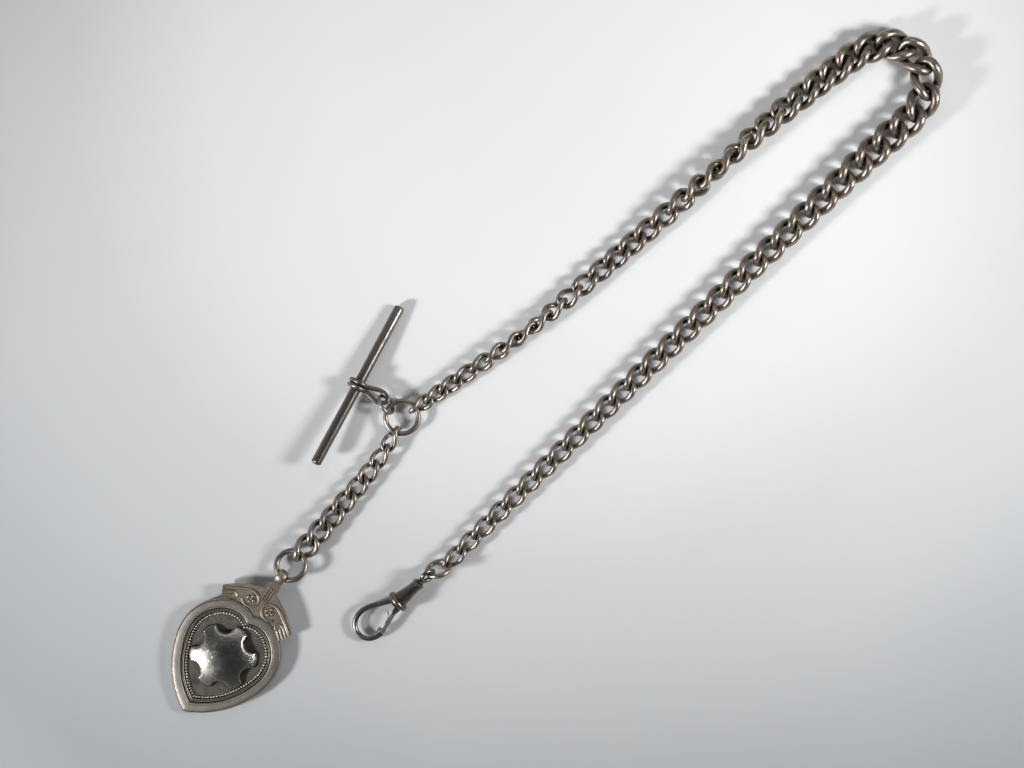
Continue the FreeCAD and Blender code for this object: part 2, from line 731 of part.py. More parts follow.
def fob_bail():
    """Tapered strap bent round into the eye that holds the jump ring."""
    inner = FOB_RING_WIRE / 2.0 + BAIL_PLAY
    thick, wide = BAIL_SECTION
    section = Part.Ellipse(Vec(0, 0, 0), wide / 2.0, thick / 2.0).toShape()
    section.rotate(Vec(0, 0, 0), Vec(1, 0, 0), 90)
    section.rotate(Vec(0, 0, 0), Z_AXIS, 90)
    section.translate(Vec(0, 0, inner + thick / 2.0))
    band = Part.Face(Part.Wire([section])).revolve(Vec(0, 0, 0), Vec(0, 1, 0), 360)
    if band.Volume < 0:
        band.reverse()
    band.translate(BAIL_EYE)
    tail = Part.makeLoft([rectangle_at(NECK_END, NECK_HALF, CROWN_BOTTOM + 0.05, CROWN_TOP + 0.1),
                          rectangle_at(BAIL_EYE.x - inner * 0.8, BAIL_TAIL_HALF, 0.35, CROWN_TOP)], True)
    bore = Part.makeCylinder(inner, 6, BAIL_EYE + Vec(0, -3, 0), Vec(0, 1, 0))
    return on_fob(band.fuse(tail).cut(bore).removeSplitter())


# ---------------------------------------------------------------- clasp
@functools.lru_cache(maxsize=None)
def connector_ring():
    across = CONNECTOR_OUTER - CONNECTOR_WIRE
    ring = Loop("connector_ring", across, across, CONNECTOR_WIRE)
    hook_on(main_links()[-1], ring, CONNECTOR_HEADING, CONNECTOR_ROLL, CONNECTOR_END_HEIGHT)
    return ring


@functools.lru_cache(maxsize=None)
def clasp_eye_loop():
    across = CLASP_EYE_OUTER - CLASP_EYE_WIRE
    eye = Loop("clasp_eye", across, across, CLASP_EYE_WIRE)
    hook_on(connector_ring(), eye, CLASP_HEADING, CLASP_EYE_ROLL, CLASP_EYE_END_HEIGHT)
    return eye


def clasp_rotation():
    return turn(CLASP_HEADING, CLASP_PITCH)


def clasp_origin():
    """Middle of the barrel's narrow end; local X runs down the clasp to the hook's tip."""
    reach = CLASP_EYE_WIRE / 2.0 + EYE_NECK
    return clasp_eye_loop().tip(1) + clasp_rotation().multVec(Vec(reach, 0, 0))


def on_clasp(shape):
    return at(shape, clasp_origin(), clasp_rotation())


def turned(profile):
    """Solid of revolution about X from (distance, radius) corners."""
    corners = [Vec(x, 0, r) for x, r in profile]
    face = Part.Face(Part.makePolygon(corners + corners[:1]))
    solid = face.revolve(Vec(0, 0, 0), Vec(1, 0, 0), 360)
    if solid.Volume < 0:
        solid.reverse()
    return solid


def clasp_eye():
    """Swivel eye: a ring, a small flange and the post that turns inside the barrel."""
    eye = clasp_eye_loop()
    ring = eye.solid()
    flange = turned([(-EYE_NECK - 0.2, 0), (-EYE_NECK - 0.2, 0.8), (-0.35, FLANGE_RADIUS),
                     (-LINK_GAP, FLANGE_RADIUS), (-LINK_GAP, POST_RADIUS), (POST_END, POST_RADIUS),
                     (POST_END, 0)])
    return on_clasp(flange).fuse(ring)


def clasp_post_head():
    """Riveted head that keeps the post in the barrel."""
    start = BARREL_WALL + LINK_GAP
    return on_clasp(turned([(start, POST_RADIUS), (start, POST_HEAD_RADIUS),
                            (POST_END - 0.15, POST_HEAD_RADIUS), (POST_END, POST_HEAD_RADIUS - 0.15),
                            (POST_END, POST_RADIUS)]))


def clasp_barrel():
    """Turned barrel: a lipped narrow end with a small bore, flaring to the collar."""
    inside = [(BARREL_LENGTH, STEM_RADIUS), (STEM_START, STEM_RADIUS), (STEM_START, CAVITY_RADIUS),
              (BARREL_WALL, CAVITY_RADIUS), (BARREL_WALL, BARREL_BORE)]
    return on_clasp(turned([(0, BARREL_BORE)] + BARREL_SHAPE + inside))


def clasp_collar():
    """Rounded bead at the barrel's wide end."""
    start, end = BARREL_LENGTH, BARREL_LENGTH + COLLAR_LENGTH
    bead = turned([(start, STEM_RADIUS), (start, COLLAR_RADIUS), (end, COLLAR_RADIUS),
                   (end, STEM_RADIUS)])
    rim = [e for e in bead.Edges if e.Curve.TypeId == "Part::GeomCircle"
           and abs(e.Curve.Radius - COLLAR_RADIUS) < 0.01]
    return on_clasp(bead.makeFillet(COLLAR_LENGTH * 0.45, rim))


def clasp_hook():
    """Stem, base disc, gate ears and the bent hook wire, all one casting."""
    base = BARREL_LENGTH + COLLAR_LENGTH
    disc_radius, disc_thick = BASE_DISC
    stem = turned([(STEM_START, 0), (STEM_START, STEM_RADIUS), (base, STEM_RADIUS), (base, disc_radius),
                   (base + disc_thick, disc_radius), (base + disc_thick, 0)])
    wire = Part.BSplineCurve()
    wire.interpolate([Vec(x, y, 0) for x, y in HOOK_PATH])
    body = stem.fuse(round_bar(wire, HOOK_WIRE / 2.0, HOOK_NOSE / 2.0))
    x, y = GATE_PIVOT
    for side in (-1, 1):
        bottom = side * (KNUCKLE_HALF + EAR_GAP) - (EAR_THICK if side < 0 else 0)
        ear = Part.makeCylinder(EAR_RADIUS, EAR_THICK, Vec(x, y, bottom))
        root = Part.makeBox(x - base - 0.3, 2 * EAR_RADIUS, EAR_THICK,
                            Vec(base + 0.3, y - EAR_RADIUS, bottom))
        body = body.fuse(ear).fuse(root)
    hole = Part.makeCylinder(GATE_PIN_RADIUS, 4, Vec(x, y, -2))
    return on_clasp(body.cut(hole).removeSplitter())


def gate_direction():
    x0, y0 = GATE_PIVOT
    x1, y1 = GATE_END
    return math.degrees(math.atan2(y1 - y0, x1 - x0)), math.hypot(x1 - x0, y1 - y0)


def clasp_gate():
    """Straight lever with a knuckle on the pin and a thin tongue under the hook's nose."""
    angle, length = gate_direction()
    thick = GATE_THICK
    lever = Part.makeBox(length, thick, GATE_WIDE, Vec(0, -thick / 2.0, -GATE_WIDE / 2))
    lever = lever.cut(Part.makeBox(KNUCKLE_RADIUS + 0.25, 2, 2, Vec(0, -1, -1)))
    neck = Part.makeBox(KNUCKLE_RADIUS + 0.3, thick, 2 * KNUCKLE_HALF,
                        Vec(0.2, -thick / 2.0, -KNUCKLE_HALF))
    knuckle = Part.makeCylinder(KNUCKLE_RADIUS, 2 * KNUCKLE_HALF, Vec(0, 0, -KNUCKLE_HALF))
    corner = Vec(length - RISER_LENGTH, -TONGUE_DROP, -TONGUE_WIDE / 2)
    tongue = Part.makeBox(TONGUE_REACH + RISER_LENGTH, TONGUE_THICK, TONGUE_WIDE, corner)
    riser = Part.makeBox(RISER_LENGTH, TONGUE_DROP, TONGUE_WIDE, corner)
    body = knuckle.fuse(neck).fuse(lever).fuse(tongue).fuse(riser)
    body = body.cut(Part.makeCylinder(GATE_PIN_RADIUS + PIN_PLAY, 4, Vec(0, 0, -2)))
    body.rotate(Vec(0, 0, 0), Z_AXIS, angle)
    body.translate(Vec(GATE_PIVOT[0], GATE_PIVOT[1], 0))
    return on_clasp(body.removeSplitter())


def clasp_gate_pin():
    half = KNUCKLE_HALF + EAR_GAP + EAR_THICK
    pin = Part.makeCylinder(GATE_PIN_RADIUS, 2 * half, Vec(GATE_PIVOT[0], GATE_PIVOT[1], -half))
    return on_clasp(pin)


def clasp_spring():
    """Flat leaf spring riveted under the gate, curling back toward the base."""
    angle, _ = gate_direction()
    face = -GATE_THICK / 2.0
    centre = Vec(LEAF_START, face - LEAF_BEND, -LEAF_WIDE / 2)
    leaf = Part.makeCylinder(LEAF_BEND, LEAF_WIDE, centre, Z_AXIS, LEAF_ARC)
    leaf.rotate(centre, Z_AXIS, 90)
    leaf = leaf.cut(Part.makeCylinder(LEAF_BEND - LEAF_THICK, LEAF_WIDE, centre))
    corner = Vec(LEAF_START, face - LEAF_THICK, -LEAF_WIDE / 2)
    leaf = leaf.fuse(Part.makeBox(LEAF_FLAT, LEAF_THICK, LEAF_WIDE, corner))
    leaf.rotate(Vec(0, 0, 0), Z_AXIS, angle)
    leaf.translate(Vec(GATE_PIVOT[0], GATE_PIVOT[1], 0))
    return on_clasp(leaf.removeSplitter())


# ---------------------------------------------------------------- whole chain
def link_nodes():
    """Main links two to a node, the last three together; drop links one to a node."""
    nodes = {}
    links = main_links()
    for start in range(0, MAIN_COUNT - 1, 2):
        end = MAIN_COUNT if MAIN_COUNT - start == 3 else start + 2
        numbers = "_".join("%02d" % (i + 1) for i in range(start, end))
        nodes["main_links_" + numbers] = Part.makeCompound([link.solid() for link in links[start:end]])
    for link in drop_links():
        nodes[link.name] = link.solid()
    return nodes


def main():
    nodes = link_nodes()
    for ring in (centre_ring(), t_ring(), connector_ring(), fob_ring()):
        nodes[ring.name] = ring.solid()
    for maker in (t_bar_shackle, t_bar_rod, fob_back_plate, fob_rim, fob_inner_step, fob_bead_border,
                  fob_boss, fob_crown, fob_bail, clasp_eye, clasp_post_head, clasp_barrel,
                  clasp_collar, clasp_hook, clasp_gate, clasp_gate_pin, clasp_spring):
        nodes[maker.__name__] = maker()
    os.makedirs("parts", exist_ok=True)
    for name, shape in nodes.items():
        shape.translate(Vec(0, 0, -CENTRE_RING_HEIGHT))
        shape.exportStep("parts/%s.step" % name)
        print(name, len(shape.Solids), shape.isValid(), round(shape.Volume, 1))


if __name__ == "__main__":
    main()
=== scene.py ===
"""Looks for the pocket watch chain: aged silver with painted shade in its hollows, on a pale table with a
pool of light painted on it, seen from straight above.
"""
import json
import math

import bmesh
import bpy
import numpy as np
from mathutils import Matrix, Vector


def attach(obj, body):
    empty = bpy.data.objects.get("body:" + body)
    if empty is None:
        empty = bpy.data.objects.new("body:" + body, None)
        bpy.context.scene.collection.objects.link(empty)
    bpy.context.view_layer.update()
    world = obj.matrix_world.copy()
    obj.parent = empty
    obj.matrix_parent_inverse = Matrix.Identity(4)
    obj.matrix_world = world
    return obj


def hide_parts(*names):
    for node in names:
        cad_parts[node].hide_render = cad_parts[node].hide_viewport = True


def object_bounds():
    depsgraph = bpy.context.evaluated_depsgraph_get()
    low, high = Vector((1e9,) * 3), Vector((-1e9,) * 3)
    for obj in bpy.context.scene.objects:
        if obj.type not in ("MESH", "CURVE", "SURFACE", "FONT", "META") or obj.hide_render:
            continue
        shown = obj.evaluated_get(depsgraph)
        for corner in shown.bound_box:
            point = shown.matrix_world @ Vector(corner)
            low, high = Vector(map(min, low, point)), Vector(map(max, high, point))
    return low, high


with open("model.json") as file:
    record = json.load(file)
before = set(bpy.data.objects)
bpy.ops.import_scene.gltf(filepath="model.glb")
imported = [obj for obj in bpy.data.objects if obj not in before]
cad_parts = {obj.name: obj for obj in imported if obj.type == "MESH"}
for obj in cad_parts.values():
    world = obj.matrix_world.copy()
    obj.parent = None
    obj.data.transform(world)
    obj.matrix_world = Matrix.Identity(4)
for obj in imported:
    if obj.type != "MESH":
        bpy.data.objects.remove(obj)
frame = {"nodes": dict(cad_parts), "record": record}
CAD_LOW, CAD_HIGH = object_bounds()
NODES = frame["nodes"]
MM = 0.001

# ---------------------------------------------------------------- view and light
VIEW_SHIFT = Vector((26.3, 8.0, 0)) * MM      # from the centre ring to the picture's middle
VIEW_WIDTH = 245.8 * MM                       # width of the picture at the table
LENS = 85.0
SENSOR = 36.0
TABLE_SIZE = 3.0                              # metres
PAINTED_LIGHT_FALL_OFF = 0.28                               # metres over which the light painted on the table falls off to painted shade
PAINTED_LIGHT_MIDDLE = Vector((11.5, 73.0, 0)) * MM    # middle of the pool of light painted on the table, from the picture's middle
RIGHT_AIM = Vector((98, 82, 0)) * MM          # where each side light points, from the picture's middle
LEFT_AIM = Vector((-96, -78, 0)) * MM
SKY_STRENGTH = 0.55
SKY_LEFT, SKY_RIGHT = 1.45, 0.55              # how much paler the room is at its left side

# ---------------------------------------------------------------- shapes, in millimetres
SIDE_POINTS = 260                             # points along one side of the heart
ROD_SIDES = 48
DOME_STEPS = 9
DOME_DEPTH = 0.75                             # of the T-bar's ends
DOME_START = 4                                # degrees from the axis, where the flat cap ends
DOME_FULLNESS = 0.8                           # below 1 is blunter than an ellipse
BEAD_SPACING = 0.68                           # along the milgrain border
BEAD_RADIUS = 0.29
BEAD_HEIGHT = 0.22                            # of a bead's middle above the plate
STAR_POINTS = 6
STAR_STEPS = 30                               # points along half a scallop and its shoulder
BOSS_ROLL = 0.6                               # radius of the rolled edge of the star
BOSS_SINK = 0.05                              # depth of the boss's foot in the plate
GATE_EDGE = 0.28                              # rounding of the clip's gate
SHARP_ANGLE = 40                              # degrees, over which an edge stays crisp
DRESSED_SHARP = 35
WELD_GAP = 0.0005


# ---------------------------------------------------------------- node helpers
def new_material(name):
    """An empty node material and its tree."""
    material = bpy.data.materials.new(name)
    material.use_nodes = True
    tree = material.node_tree
    tree.nodes.clear()
    return material, tree


def add(tree, kind, **settings):
    """A node of one kind, with properties and input values set by name."""
    node = tree.nodes.new(kind)
    for key, value in settings.items():
        if key in node.inputs:
            node.inputs[key].default_value = value
        else:
            setattr(node, key, value)
    return node


def link(tree, source, target):
    """A wire from an output to an input."""
    tree.links.new(source, target)


def ramp(tree, source, stops):
    """Grey ramp from a list of (position, value)."""
    node = add(tree, "ShaderNodeValToRGB")
    elements = node.color_ramp.elements
    while len(elements) < len(stops):
        elements.new(0.5)
    for element, (place, value) in zip(elements, stops):
        element.position = place
        element.color = (value, value, value, 1)
    link(tree, source, node.inputs["Fac"])
    return node.outputs["Color"]


def mix_values(tree, kind, a, b):
    """Arithmetic on two numbers or outputs."""
    node = add(tree, "ShaderNodeMath", operation=kind)
    for socket, value in zip(node.inputs, (a, b)):
        if isinstance(value, (int, float)):
            socket.default_value = value
        else:
            link(tree, value, socket)
    return node.outputs[0]


def mix_colours(tree, amount, a, b):
    """Colour a where the amount is 0, colour b where it is 1."""
    node = add(tree, "ShaderNodeMix", data_type="RGBA")
    link(tree, amount, node.inputs[0])
    for socket, value in ((node.inputs[6], a), (node.inputs[7], b)):
        if isinstance(value, tuple):
            socket.default_value = value
        else:
            link(tree, value, socket)
    return node.outputs[2]


# ---------------------------------------------------------------- materials
SCRATCH_HEADINGS = (40, -65)                  # degrees
SCRATCH_SCALE = (0.25, 9.0, 9.0)              # per millimetre: long one way, fine the other
TARNISH_DULLNESS = 0.16                       # roughness added where the tarnish and painted-shade mask is full
FINE_STRENGTH, FINE_DEPTH = 0.35, 0.02 * MM   # of the scratches and wear lines
DENT_DEPTH = 0.12 * MM


def noise(tree, place, scale, detail=3.0, rough=0.55, stretch=(1, 1, 1)):
    """Noise in object space; scale is in bumps per millimetre."""
    size = add(tree, "ShaderNodeMapping")
    size.inputs["Scale"].default_value = [scale * s / MM for s in stretch]
    link(tree, place, size.inputs["Vector"])
    node = add(tree, "ShaderNodeTexNoise", Scale=1.0, Detail=detail, Roughness=rough)
    link(tree, size.outputs[0], node.inputs["Vector"])
    return node.outputs["Fac"]


def scratches(tree, place, heading):
    """Sparse, short, straight scratches along one heading."""
    size = add(tree, "ShaderNodeMapping")
    size.inputs["Rotation"].default_value = (0, 0, math.radians(heading))
    size.inputs["Scale"].default_value = [s / MM for s in SCRATCH_SCALE]
    link(tree, place, size.inputs["Vector"])
    node = add(tree, "ShaderNodeTexNoise", Scale=1.0, Detail=0.0)
    link(tree, size.outputs[0], node.inputs["Vector"])
    return ramp(tree, node.outputs["Fac"], [(0.69, 0.0), (0.74, 1.0)])


def aged_silver_with_painted_shade(name, bright, dark, roughness=0.3, tarnish=0.5, reach=1.3, scratch=0.25, dents=0.3,
                edge=0.05, shade_and_tarnish_share=0.95):
    """Silver darkened in its hollows and where other parts come near by painted shade from an occlusion
    node, which also stands for tarnish there; lighter where open, with patchy tarnish clouds, finely
    scratched.
    """
    material, tree = new_material(name)
    place = add(tree, "ShaderNodeTexCoord").outputs["Object"]
    shader = add(tree, "ShaderNodeBsdfPrincipled", Metallic=1.0)
    out = add(tree, "ShaderNodeOutputMaterial")
    link(tree, shader.outputs[0], out.inputs["Surface"])

    # Painted shade, which also stands for tarnish in the hollows: ambient occlusion darkens the colour in
    # hollows and near other parts, within the reach.
    hollow = add(tree, "ShaderNodeAmbientOcclusion", Distance=reach * MM, samples=8)
    painted_shade_and_tarnish = ramp(tree, hollow.outputs["AO"], [(0.45, 1.0), (0.97, 0.0)])
    cloud = ramp(tree, noise(tree, place, 0.35, 5.0, 0.6), [(0.35, 0.0), (0.68, 1.0)])
    spread = mix_values(tree, "MULTIPLY", cloud, tarnish)
    # The darkening mask: the larger of the painted shade with hollow tarnish and the tarnish clouds.
    amount = mix_values(tree, "MAXIMUM", mix_values(tree, "MULTIPLY", painted_shade_and_tarnish, shade_and_tarnish_share), spread)
    link(tree, mix_colours(tree, amount, bright, dark), shader.inputs["Base Color"])

    lines = noise(tree, place, 2.5, 4.0, 0.7, (1, 7, 3))
    rough = mix_values(tree, "MULTIPLY_ADD", lines, scratch)
    tree.nodes[-1].inputs[2].default_value = roughness
    rough = mix_values(tree, "ADD", rough, mix_values(tree, "MULTIPLY", amount, TARNISH_DULLNESS))
    link(tree, rough, shader.inputs["Roughness"])

    hairs = mix_values(tree, "MAXIMUM", *[scratches(tree, place, way) for way in SCRATCH_HEADINGS])
    lines = mix_values(tree, "SUBTRACT", lines, hairs)
    soft = add(tree, "ShaderNodeBevel", Radius=edge * MM, samples=4)
    fine = add(tree, "ShaderNodeBump", Strength=FINE_STRENGTH, Distance=FINE_DEPTH)
    link(tree, soft.outputs[0], fine.inputs["Normal"])
    link(tree, lines, fine.inputs["Height"])
    coarse = add(tree, "ShaderNodeBump", Strength=dents, Distance=DENT_DEPTH)
    link(tree, noise(tree, place, 0.55, 2.0), coarse.inputs["Height"])
    link(tree, fine.outputs[0], coarse.inputs["Normal"])
    link(tree, coarse.outputs[0], shader.inputs["Normal"])
    return material


def table_paper_with_painted_light(painted_light_place):
    """Matt pale table with a pool of light painted on it: lightest at the given spot, its colour darkened to
    a painted-shade grey away from it, with faint random tone.
    """
    material, tree = new_material("pale_table")
    place = add(tree, "ShaderNodeTexCoord").outputs["Object"]
    shader = add(tree, "ShaderNodeBsdfPrincipled", Roughness=0.75)
    out = add(tree, "ShaderNodeOutputMaterial")
    link(tree, shader.outputs[0], out.inputs["Surface"])
    away = add(tree, "ShaderNodeVectorMath", operation="DISTANCE")
    link(tree, place, away.inputs[0])
    away.inputs[1].default_value = painted_light_place
    # Painted light and shade: the colour runs from the pale table to a painted-shade grey with distance from
    # the spot.
    far = mix_values(tree, "DIVIDE", away.outputs["Value"], PAINTED_LIGHT_FALL_OFF)
    painted_light_falloff = ramp(tree, far, [(0.2, 0.0), (0.3, 0.13), (0.42, 0.47), (0.52, 0.64), (0.6, 0.82), (0.7, 1.0)])
    tone = ramp(tree, noise(tree, place, 0.012, 3.0), [(0.3, 0.0), (0.7, 1.0)])
    colour = mix_colours(tree, tone, (0.815, 0.83, 0.84, 1), (0.85, 0.86, 0.865, 1))
    painted_shade_grey = mix_colours(tree, tone, (0.30, 0.315, 0.33, 1), (0.32, 0.335, 0.35, 1))
    link(tree, mix_colours(tree, painted_light_falloff, colour, painted_shade_grey), shader.inputs["Base Color"])
    return material


# The dark colour of each finish is used for tarnish and for painted shade in hollows and between parts.
LINK_SILVER = aged_silver_with_painted_shade("link_silver", (0.40, 0.345, 0.29, 1), (0.035, 0.024, 0.017, 1), roughness=0.2)
ROD_SILVER = aged_silver_with_painted_shade("rod_silver", (0.25, 0.225, 0.205, 1), (0.08, 0.062, 0.052, 1), roughness=0.15,
                         scratch=0.3)
FOB_SILVER = aged_silver_with_painted_shade("fob_silver", (0.37, 0.34, 0.30, 1), (0.10, 0.08, 0.06, 1), roughness=0.26,
                         tarnish=0.45, scratch=0.4)
RING_SILVER = aged_silver_with_painted_shade("ring_silver", (0.36, 0.32, 0.28, 1), (0.05, 0.036, 0.026, 1), roughness=0.2)
# Field inside the border: heavy tarnish, and painted shade reaching 2.5 mm out from the walls round it.
FIELD_SILVER = aged_silver_with_painted_shade("field_silver", (0.34, 0.31, 0.28, 1), (0.05, 0.04, 0.03, 1), roughness=0.22,
                           tarnish=0.8, reach=2.5)
BOSS_SILVER = aged_silver_with_painted_shade("boss_silver", (0.40, 0.388, 0.36, 1), (0.20, 0.175, 0.15, 1),
                          roughness=0.13, tarnish=0.5, scratch=0.2, dents=0.2)
# Paler than the fob's silver, with half the hollow shade: painted light that keeps the beads bright in the
# step's shadow.
BEAD_SILVER_PAINTED_BRIGHT = aged_silver_with_painted_shade("bead_silver", (0.62, 0.56, 0.48, 1), (0.20, 0.16, 0.12, 1), roughness=0.25,
                          shade_and_tarnish_share=0.5)
CROWN_SILVER = aged_silver_with_painted_shade("crown_silver", (0.42, 0.36, 0.29, 1), (0.035, 0.023, 0.015, 1), reach=0.7,
                           edge=0.03, dents=0.1)
CLASP_SILVER = aged_silver_with_painted_shade("clasp_silver", (0.25, 0.225, 0.2, 1), (0.04, 0.03, 0.024, 1), roughness=0.14,
                           dents=0.15)
SPRING_STEEL = aged_silver_with_painted_shade("spring_steel", (0.25, 0.24, 0.23, 1), (0.05, 0.04, 0.04, 1))
GATE_SILVER = aged_silver_with_painted_shade("gate_silver", (0.46, 0.42, 0.37, 1), (0.10, 0.075, 0.06, 1), roughness=0.2)

FINISHES = {
    "chain_silver": LINK_SILVER,
    "t_bar_silver": ROD_SILVER,
    "fob_silver": FOB_SILVER,
    "fob_boss_polish": BOSS_SILVER,
    "crown_silver": CROWN_SILVER,
    "clasp_silver": CLASP_SILVER,
    "spring_steel": SPRING_STEEL,
}
SLOTS = {entry["node"]: entry["material_slot"] for entry in frame["record"]["subparts"]}
BODIES = {node: body for body, nodes in frame["record"]["behaviour"]["bodies"].items() for node in nodes}


def paint(piece, material):
    """One material on the whole of a piece."""
    piece.data.materials.clear()
    piece.data.materials.append(material)


def paint_nodes():
    """Every CAD node gets the aged, shade-painted finish of its material slot."""
    for name, slot in SLOTS.items():
        node = NODES[name]
        paint(node, FINISHES[slot])
        for polygon in node.data.polygons:
            polygon.use_smooth = True


paint_nodes()
paint(NODES["fob_back_plate"], FIELD_SILVER)
paint(NODES["fob_jump_ring"], RING_SILVER)


# ---------------------------------------------------------------- reading the CAD nodes
def points(node):
    """Corner points of a CAD node, in the row frame."""
    mesh = NODES[node].data
    flat = np.zeros(len(mesh.vertices) * 3)
    mesh.vertices.foreach_get("co", flat)
    return flat.reshape(-1, 3)


def welded(node):
    """Mesh of a CAD node with its doubled points joined."""
    shape = bmesh.new()
    shape.from_mesh(NODES[node].data)
    bmesh.ops.remove_doubles(shape, verts=shape.verts, dist=WELD_GAP * MM)
    return shape


def centroid(node):
    """Middle of a closed node's volume."""
    mesh = NODES[node].data
    corners = points(node)
    triangles = np.array([polygon.vertices[:] for polygon in mesh.polygons])
    a, b, c = corners[triangles[:, 0]], corners[triangles[:, 1]], corners[triangles[:, 2]]
    volumes = np.einsum("ij,ij->i", a, np.cross(b, c))
    return ((a + b + c) * volumes[:, None]).sum(axis=0) / 4 / volumes.sum()


class FobFrame:
    """The fob's own frame: X from the tip to the bail, Z out of its front, origin under the tip."""

    def __init__(self):
        plate = points("fob_back_plate")
        middle = centroid("fob_boss")
        self.z = np.linalg.svd(plate - plate.mean(axis=0), full_matrices=False)[2][2]
        self.z *= math.copysign(1, self.z[2])
        along = centroid("fob_crown") - middle
        along -= self.z * along.dot(self.z)
        self.x = along / np.linalg.norm(along)
        self.y = np.cross(self.z, self.x)
        tip = ((plate - middle) @ self.x).min()
        floor = ((plate - middle) @ self.z).min()
        self.origin = middle + self.x * tip + self.z * floor

    def local(self, places):
        """Places in millimetres in the fob's frame."""
        offset = (np.asarray(places) - self.origin) / MM
        return np.stack([offset @ self.x, offset @ self.y, offset @ self.z], axis=-1)

    def world(self, places):
        """Row-frame places from millimetres in the fob's frame."""
        x, y, z = np.asarray(places).T * MM
        return self.origin + np.outer(x, self.x) + np.outer(y, self.y) + np.outer(z, self.z)


FOB = FobFrame()


def top_loops(node):
    """Closed lines round the flat top of a fob node, longest first, in the fob's frame."""
    shape = welded(node)
    height = FOB.local(points(node))[:, 2].max() - 0.01
    up = Vector(FOB.z)
    flat = set()
    for face in shape.faces:
        if face.normal.dot(up) > 0.999 and FOB.local(face.calc_center_median())[2] > height:
            flat.add(face)
    after = {}
    for edge in shape.edges:
        inside = [face for face in edge.link_faces if face in flat]
        if len(inside) == 1:
            for loop in inside[0].loops:
                if loop.edge == edge:
                    after[loop.vert] = loop.link_loop_next.vert
    loops = []
    while after:
        first = next(iter(after))
        loop, here = [], first
        while here in after:
            loop.append(here.co[:])
            here = after.pop(here)
        loops.append(FOB.local(loop))
    shape.free()
    return sorted(loops, key=lambda line: -len_of(line))


def len_of(line):
    """Length along a line of points."""
    return np.linalg.norm(np.diff(line, axis=0), axis=1).sum()


def spaced(line, count):
    """A line divided evenly into count points."""
    steps = np.concatenate([[0], np.cumsum(np.linalg.norm(np.diff(line, axis=0), axis=1))])
    marks = np.linspace(0, steps[-1], count)
    return np.stack([np.interp(marks, steps, line[:, k]) for k in range(2)], axis=-1)


def half_line(loop, count):
    """One side of a heart-shaped loop, from the tip round to the cleft, evenly divided."""
    start = loop[:, 0].argmin()
    line = np.roll(loop, -start, axis=0)
    line = np.concatenate([line, line[:1]])
    if line[len(line) // 4, 1] < 0:
        line = line[::-1]
    crossing = 2 + np.argmax(line[2:, 1] < 0.01)
    return spaced(line[:crossing + 1, :2], count)


# ---------------------------------------------------------------- pieces built in place of nodes
def build(name, verts, faces, node):
    """A mesh piece that stands for a CAD node, rides on its body and takes its slot's finish."""
    mesh = bpy.data.meshes.new(name)
    mesh.from_pydata([tuple(v) for v in verts], [], faces)
    mesh.validate()
    settle(name, mesh, node)


def settle(name, mesh, node, finish=None, sharp=SHARP_ANGLE):
    """An object for a finished mesh: painted, riding on the node's body, in the node's place."""
    for polygon in mesh.polygons:
        polygon.use_smooth = True
    mesh.set_sharp_from_angle(angle=math.radians(sharp))
    piece = bpy.data.objects.new(name, mesh)
    bpy.context.scene.collection.objects.link(piece)
    paint(piece, finish or FINISHES[SLOTS[node]])
    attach(piece, BODIES[node])
    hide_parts(node)
    return piece


def ring_faces(rows, columns, closed_section=True):
    """Quads between rows of points, each row closed; the last row may join the first."""
    faces = []
    last = rows if closed_section else rows - 1
    for i in range(last):
        for j in range(columns):
            k = (j + 1) % columns
            n = (i + 1) % rows
            faces.append((i * columns + j, i * columns + k, n * columns + k, n * columns + j))
    return faces


def capped_faces(rows, columns):
    """Faces of a turned form whose first and last rows are closed by flat caps."""
    faces = ring_faces(rows, columns, closed_section=False)
    faces.append(tuple(range(columns))[::-1])
    faces.append(tuple(range((rows - 1) * columns, rows * columns)))
    return [face[::-1] for face in faces]


def heart_band(name, node, outer, inner, profile):
    """Band swept round the heart: profile is (share of the way from outer to inner line, height)."""
    verts = []
    for share, height in profile:
        side = outer * (1 - share) + inner * share
        ring = np.concatenate([side, (side * (1, -1))[-2:0:-1]])
        verts.append(np.column_stack([ring, np.full(len(ring), height)]))
    columns = len(verts[0])
    corners = FOB.world(np.concatenate(verts))
    faces = [face[::-1] for face in ring_faces(len(profile), columns)]
    build(name, corners, faces, node)


PLATE_LINE = half_line(top_loops("fob_back_plate")[0], SIDE_POINTS)
RIM_INNER = half_line(top_loops("fob_rim")[1], SIDE_POINTS)
STEP_OUTER, STEP_INNER = [half_line(loop, SIDE_POINTS) for loop in top_loops("fob_inner_step")[:2]]
BEAD_OUTER, BEAD_INNER = [half_line(loop, SIDE_POINTS) for loop in top_loops("fob_bead_border")[:2]]
PLATE_TOP = FOB.local(points("fob_back_plate"))[:, 2].max()
RIM_TOP = FOB.local(points("fob_rim"))[:, 2].max()
STEP_TOP = FOB.local(points("fob_inner_step"))[:, 2].max()


